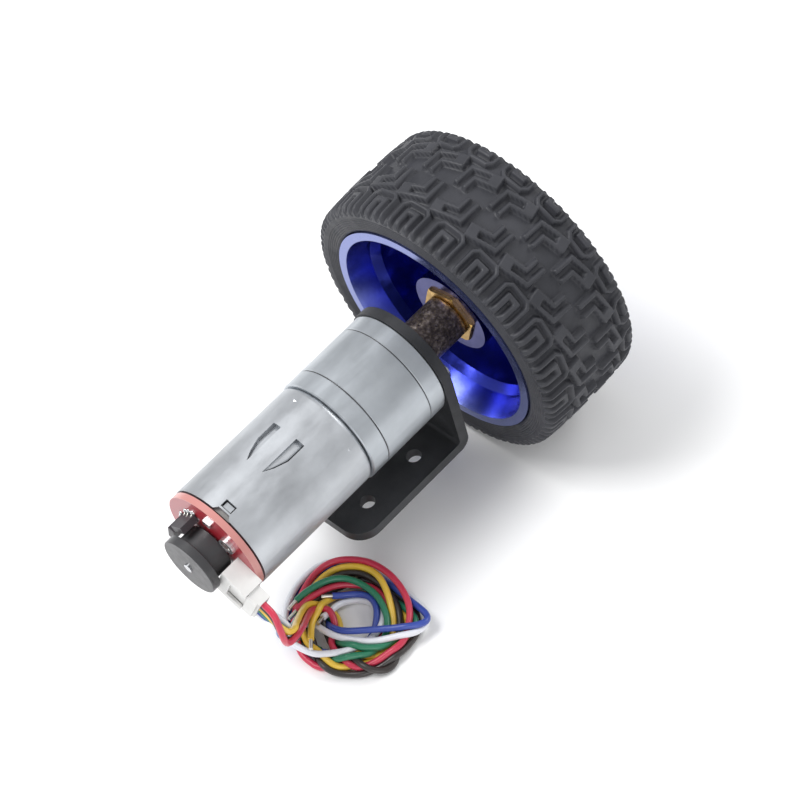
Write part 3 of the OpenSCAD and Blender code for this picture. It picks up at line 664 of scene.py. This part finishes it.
def make_tyre():
    profile = np.array(tyre_profile())
    count = PITCHES * COLUMNS
    theta = np.arange(count) * 2 * math.pi / count
    u = np.repeat((np.arange(count) * PITCH_MM / COLUMNS)[:, None], len(profile), 1) % PITCH_MM
    y = np.repeat(profile[None, :, 0], count, 0)
    low = 1 - tread_height(u, y)
    radius = profile[None, :, 1] - TREAD_DEPTH * low * profile[None, :, 2]
    turn = (theta + PATTERN_START)[:, None]
    points = np.stack([radius * np.cos(turn), WHEEL_Y + y, AXIS_Z + radius * np.sin(turn)], 2)
    rows = len(profile)
    faces = [
        (c * rows + r, c * rows + (r + 1) % rows,
         (c + 1) % count * rows + (r + 1) % rows, (c + 1) % count * rows + r)
        for c in range(count) for r in range(rows)
    ]
    tyre = add_object("tyre_tread", mesh_mm("tyre_tread", points.reshape(-1, 3), faces),
                      "tyre_rubber", "wheel")
    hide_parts("tyre")


# ---------- motor and encoder details ----------

VENT_Y, VENT_LEN = CAN_FRONT_Y - 9.4, 9.8
VENTS = [(91.5, 1), (72, -1)]
SENSORS = (163, 120)
WINDOW_ANGLE = 70.4
# Width in mm of the round on the edges of a CAD piece
BLOCK_EDGES = {
    "mounting_bracket": 0.25, "header_socket": 0.3, "cable_plug": 0.35, "hall_sensors": 0.25,
    "hex_adapter": 0.15, "board_parts": 0.12, "end_cap": 0.15, "magnet_drum": 0.12,
    "bracket_screws": 0.1, "wheel_screw": 0.12,
}


def make_vent_tongues():
    """The strips of the can's own metal that are pushed in behind its vents."""
    parts = []
    for flip in (0, 180):
        for angle, side in VENTS:
            rows, columns = 9, 5
            outer, faces = [], []
            for i in range(rows):
                t = i / (rows - 1)
                width = np.interp(t, [0, 0.22, 0.53, 1], [0.1, 1.15, 2.15, 2.15]) - 0.3
                far = math.degrees(width / CAN_R)
                for j in range(columns):
                    s = j / (columns - 1)
                    deep = 0.30 + 0.50 * t ** 0.7
                    turn = flip + angle + side * (-1.5 + (1.5 + far) * s)
                    outer.append(around(turn, CAN_R - deep, VENT_Y - VENT_LEN * (1 - t) + 0.15))
            inner = [(x * 0.985, y, AXIS_Z + (z - AXIS_Z) * 0.985) for x, y, z in outer]
            count = rows * columns
            for i in range(rows - 1):
                for j in range(columns - 1):
                    a, b = i * columns + j, (i + 1) * columns + j
                    faces.append((a, a + 1, b + 1, b))
                    faces.append((count + a, count + b, count + b + 1, count + a + 1))
            rim = [j for j in range(columns)]
            rim += [i * columns + columns - 1 for i in range(1, rows)]
            rim += [(rows - 1) * columns + j for j in range(columns - 2, -1, -1)]
            rim += [i * columns for i in range(rows - 2, 0, -1)]
            for a, b in zip(rim, rim[1:] + rim[:1]):
                faces.append((a, count + a, count + b, b))
            parts.append((outer + inner, faces))
    add_object("vent_tongues", mesh_mm("vent_tongues", *gather(parts)), "steel_can", "drive_unit")


def make_window_tabs():
    """The bent tab of metal behind each small window near the can's back edge."""
    parts = []
    for angle in (WINDOW_ANGLE, WINDOW_ANGLE + 180):
        shape = [around(angle + a, r, CAN_BACK_Y + y)
                 for r in (CAN_R - 0.55, CAN_R - 0.85) for a, y in
                 ((-4.9, 1.6), (4.9, 1.6), (4.9, 2.85), (-4.9, 2.85))]
        faces = [(0, 1, 2, 3), (7, 6, 5, 4)]
        faces += [(i, i + 4, (i + 1) % 4 + 4, (i + 1) % 4) for i in range(4)]
        parts.append((shape, faces))
    add_object("window_tabs", mesh_mm("window_tabs", *gather(parts), smooth=False),
               "steel_can", "drive_unit")


def make_stake_marks():
    """Small punch marks behind the can's front edge."""
    parts = []
    for angle in (104, 30, 284, 210):
        shape = [around(angle + a, CAN_R - 0.05 + up, CAN_FRONT_Y - 3.1 + dy)
                 for a, dy, up in ((-4, 0.1, 0), (4, 0.25, 0), (0, -0.35, 0), (0.5, 0.1, 0.22))]
        parts.append((shape, [(0, 2, 1), (0, 1, 3), (1, 2, 3), (2, 0, 3)]))
    add_object("stake_marks", mesh_mm("stake_marks", *gather(parts), smooth=False),
               "steel_can", "drive_unit")


def make_seam_shade_rings():
    """Dark lines where the gearbox plates and the motor meet, laid in the grooves there as painted
    shade.
    """
    ring_low, ring_high = box_mm("gearbox_ring")
    gearbox_r = (ring_high[0] - ring_low[0]) / 2
    parts = []
    for y in (ring_low[1], ring_high[1]):
        line = [(gearbox_r - 0.25, -0.14), (gearbox_r - 0.10, -0.10), (gearbox_r - 0.07, 0),
                (gearbox_r - 0.10, 0.10), (gearbox_r - 0.25, 0.14)]
        points, faces = turned_shape(line, (0, y, AXIS_Z), (0, 1, 0), 96)
        parts.append((points, faces[:-2]))
    # Dark rings flush in the grooves: painted shade, not a part of the unit.
    add_object("seam_shade_rings", mesh_mm("seam_shade_rings", *gather(parts)), "magnet_black", "drive_unit")


def make_sensor_legs():
    """Three tinned legs under each sensor, and the solder mounds beside them."""
    legs, mounds = [], []
    for angle in SENSORS:
        for offset in (-9.5, 0, 9.5):
            foot = around(angle + offset, 8.75, BOARD_BACK_Y)
            mounds.append(turned_shape(
                [(0.62, -0.02), (0.58, 0.16), (0.4, 0.38), (0.2, 0.52), (0.05, 0.56)],
                foot, (0, -1, 0), 16))
            top = around(angle + offset, 8.2, BOARD_BACK_Y - 1.2)
            way = tuple(np.subtract(foot, top))
            legs.append(turned_shape([(0.16, 0), (0.16, math.dist(foot, top))], top, way, 8))
    add_object("sensor_solder", mesh_mm("sensor_solder", *gather(mounds)), "solder", "drive_unit")
    add_object("sensor_legs", mesh_mm("sensor_legs", *gather(legs)), "contact_tin", "drive_unit")


# ---------- finish of the CAD pieces ----------

def dress_nodes():
    """Each CAD node gets its slot's material, and the pieces in BLOCK_EDGES a small round on their
    sharp edges.
    """
    slots = {s["node"]: s["material_slot"] for s in frame["record"]["subparts"]}
    for name, piece in nodes.items():
        piece.data.materials.clear()
        piece.data.materials.append(looks[slots[name]])
    for name, width in BLOCK_EDGES.items():
        edge = nodes[name].modifiers.new("round", "BEVEL")
        edge.width = width * MM
        edge.segments = 3
        edge.limit_method = "ANGLE"
        edge.angle_limit = math.radians(35)


looks = {}
place_camera()
looks.update(make_looks())
make_wires()
set_stage()
make_tyre()
make_vent_tongues()
make_window_tabs()
make_stake_marks()
make_seam_shade_rings()
make_sensor_legs()
dress_nodes()
